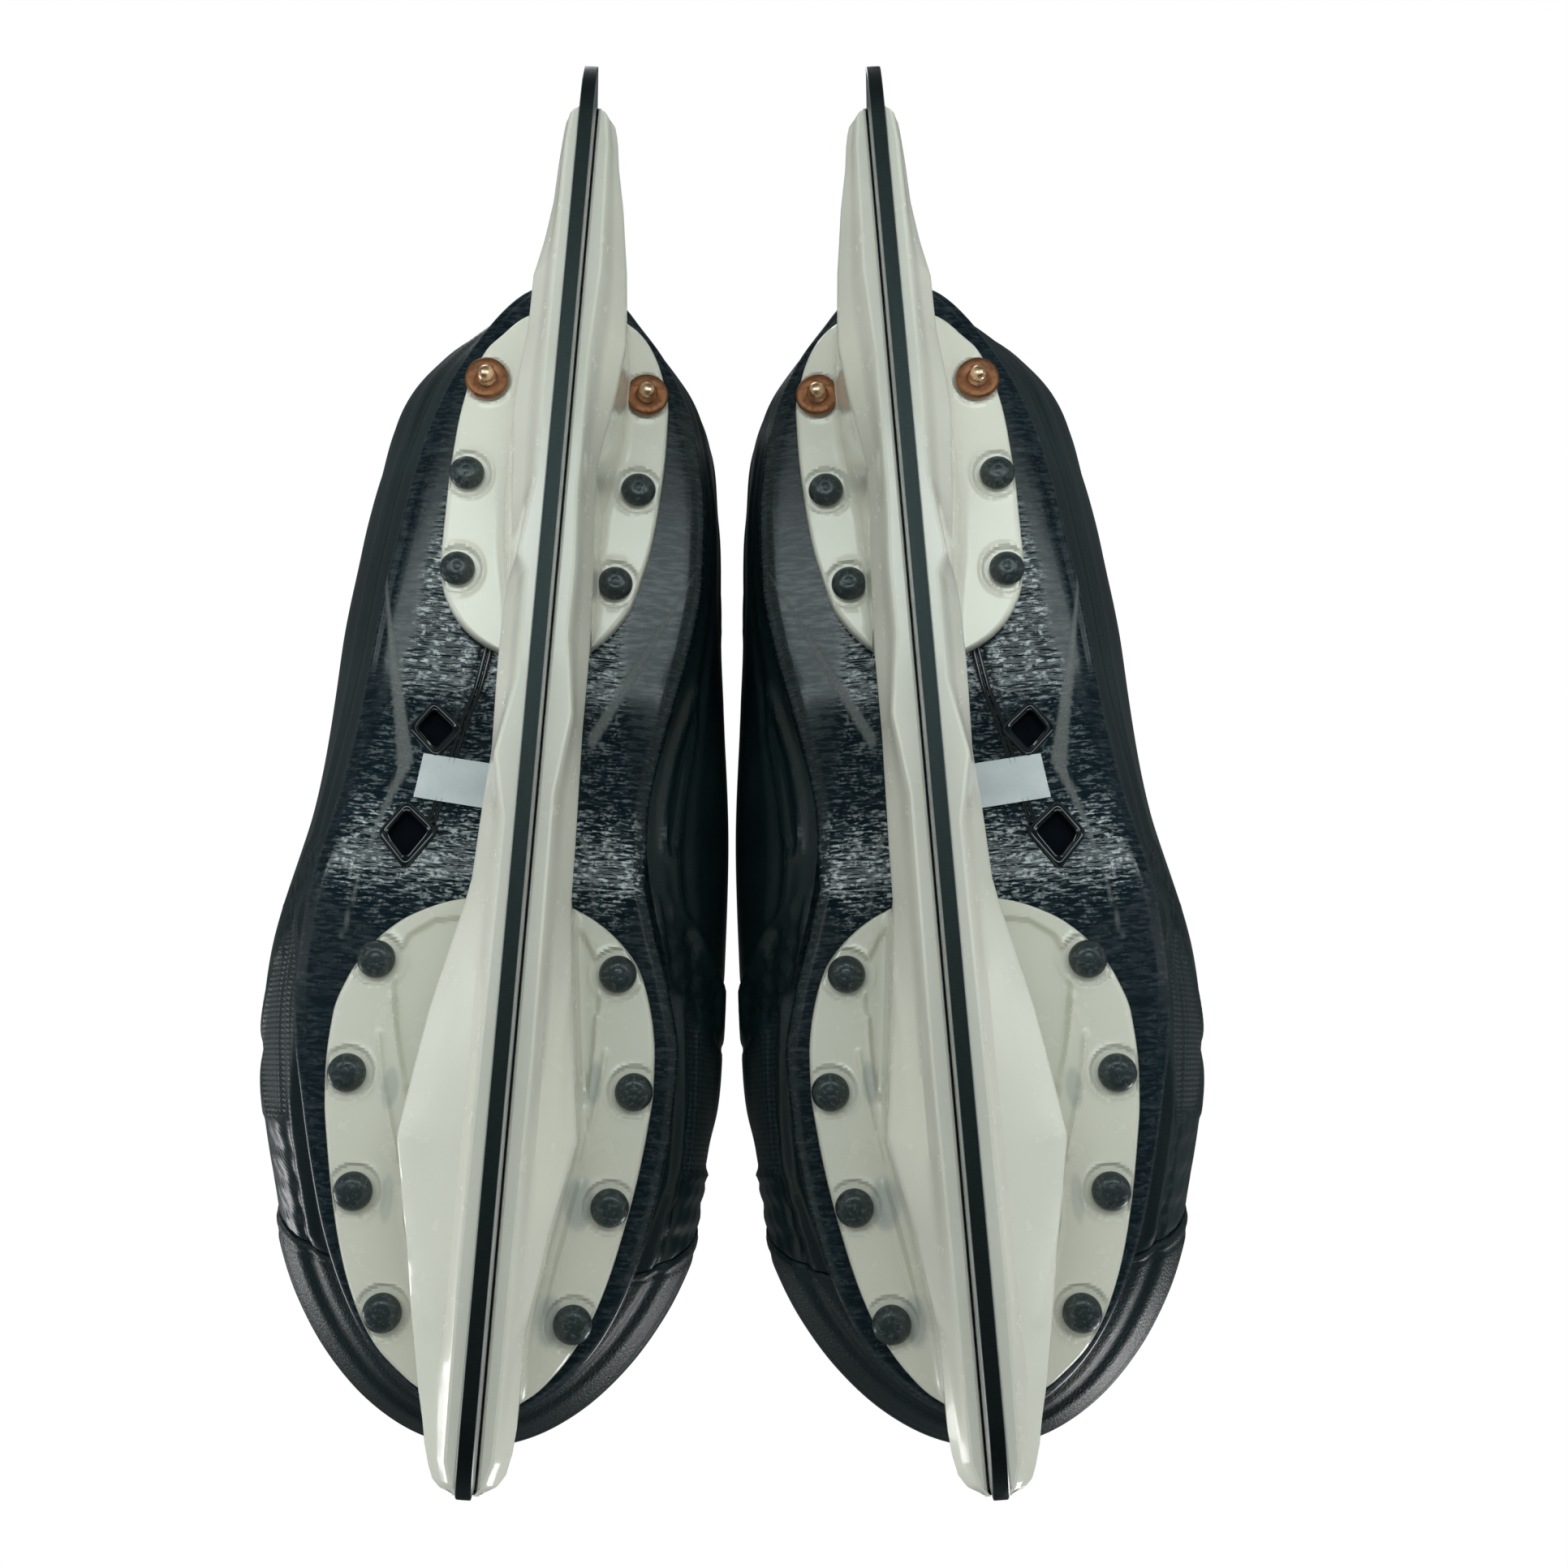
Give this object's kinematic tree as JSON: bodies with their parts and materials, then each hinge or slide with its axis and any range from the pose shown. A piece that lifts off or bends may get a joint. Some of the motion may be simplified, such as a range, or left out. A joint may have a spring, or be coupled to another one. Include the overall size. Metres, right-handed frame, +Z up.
{
  "type": "pair of ice hockey skates",
  "caption": "Pair of ice hockey skates: moulded boots with tongue and tendon guard, riveted to white two-tower blade holders that carry steel runners.",
  "frame": {"origin": "centre of the pair's footprint, on the ice plane the runners stand on", "axes": "+Z up, toes towards -Y, wearer's left foot at +X"},
  "size_m": [0.2072, 0.278, 0.256],
  "materials": {
    "runner_steel": "ground and polished",
    "holder_plastic": "glossy moulded white",
    "bolt_steel": "zinc plated",
    "sole_composite": "lacquered woven composite",
    "footbed_foam": "matt cloth over foam",
    "quarter_composite": "satin to glossy moulded shell",
    "stay": "matt grained",
    "toe_cap_plastic": "satin moulded",
    "lining": "brushed cloth over foam",
    "tongue_felt": "pressed felt",
    "guard_plastic": "satin",
    "rivet_black": "black lacquer",
    "copper": "bare copper"
  },
  "bodies": {
    "left_skate": {"left_runner": "runner_steel", "left_holder": "holder_plastic", "left_rear_runner_bolt": "bolt_steel", "left_front_runner_bolt": "bolt_steel", "left_outsole": "sole_composite", "left_footbed": "footbed_foam", "left_outer_quarter": "quarter_composite", "left_inner_quarter": "quarter_composite", "left_outer_eyelet_stay": "stay", "left_inner_eyelet_stay": "stay", "left_toe_cap": "toe_cap_plastic", "left_liner": "lining", "left_rivet_heel_a_outer": "rivet_black", "left_rivet_heel_a_inner": "rivet_black", "left_rivet_heel_b_outer": "rivet_black", "left_rivet_heel_b_inner": "rivet_black", "left_rivet_fore_a_outer": "rivet_black", "left_rivet_fore_a_inner": "rivet_black", "left_rivet_fore_b_outer": "rivet_black", "left_rivet_fore_b_inner": "rivet_black", "left_rivet_fore_c_outer": "rivet_black", "left_rivet_fore_c_inner": "rivet_black", "left_rivet_fore_d_outer": "rivet_black", "left_rivet_fore_d_inner": "rivet_black", "left_copper_pin_heel_outer": "copper", "left_copper_washer_heel_outer": "copper", "left_copper_pin_heel_inner": "copper", "left_copper_washer_heel_inner": "copper"},
    "left_tongue": {"left_tongue": "tongue_felt"},
    "left_guard": {"left_tendon_guard": "guard_plastic"},
    "right_skate": {"right_runner": "runner_steel", "right_holder": "holder_plastic", "right_rear_runner_bolt": "bolt_steel", "right_front_runner_bolt": "bolt_steel", "right_outsole": "sole_composite", "right_footbed": "footbed_foam", "right_outer_quarter": "quarter_composite", "right_inner_quarter": "quarter_composite", "right_outer_eyelet_stay": "stay", "right_inner_eyelet_stay": "stay", "right_toe_cap": "toe_cap_plastic", "right_liner": "lining", "right_rivet_heel_a_outer": "rivet_black", "right_rivet_heel_a_inner": "rivet_black", "right_rivet_heel_b_outer": "rivet_black", "right_rivet_heel_b_inner": "rivet_black", "right_rivet_fore_a_outer": "rivet_black", "right_rivet_fore_a_inner": "rivet_black", "right_rivet_fore_b_outer": "rivet_black", "right_rivet_fore_b_inner": "rivet_black", "right_rivet_fore_c_outer": "rivet_black", "right_rivet_fore_c_inner": "rivet_black", "right_rivet_fore_d_outer": "rivet_black", "right_rivet_fore_d_inner": "rivet_black", "right_copper_pin_heel_outer": "copper", "right_copper_washer_heel_outer": "copper", "right_copper_pin_heel_inner": "copper", "right_copper_washer_heel_inner": "copper"},
    "right_tongue": {"right_tongue": "tongue_felt"},
    "right_guard": {"right_tendon_guard": "guard_plastic"}
  },
  "joints": [
    {"name": "pair_separation", "type": "slide", "parent": "left_skate", "child": "right_skate", "axis": [-1, 0, 0], "range_m": [0, 0.25]},
    {"name": "left_tongue_fold", "type": "hinge", "parent": "left_skate", "child": "left_tongue", "pos_m": [0.05223, -0.06864, 0.10004], "axis": [0.9941, 0.0639, -0.0872], "range_deg": [0, 40]},
    {"name": "left_guard_flex", "type": "hinge", "parent": "left_skate", "child": "left_guard", "pos_m": [0.04691, 0.11941, 0.17163], "axis": [-0.9941, -0.0639, 0.0872], "range_deg": [0, 25]},
    {"name": "right_tongue_fold", "type": "hinge", "parent": "right_skate", "child": "right_tongue", "pos_m": [-0.05223, -0.06864, 0.10004], "axis": [0.9941, -0.0639, 0.0872], "range_deg": [0, 40]},
    {"name": "right_guard_flex", "type": "hinge", "parent": "right_skate", "child": "right_guard", "pos_m": [-0.04691, 0.11941, 0.17163], "axis": [-0.9941, 0.0639, -0.0872], "range_deg": [0, 25]}
  ]
}
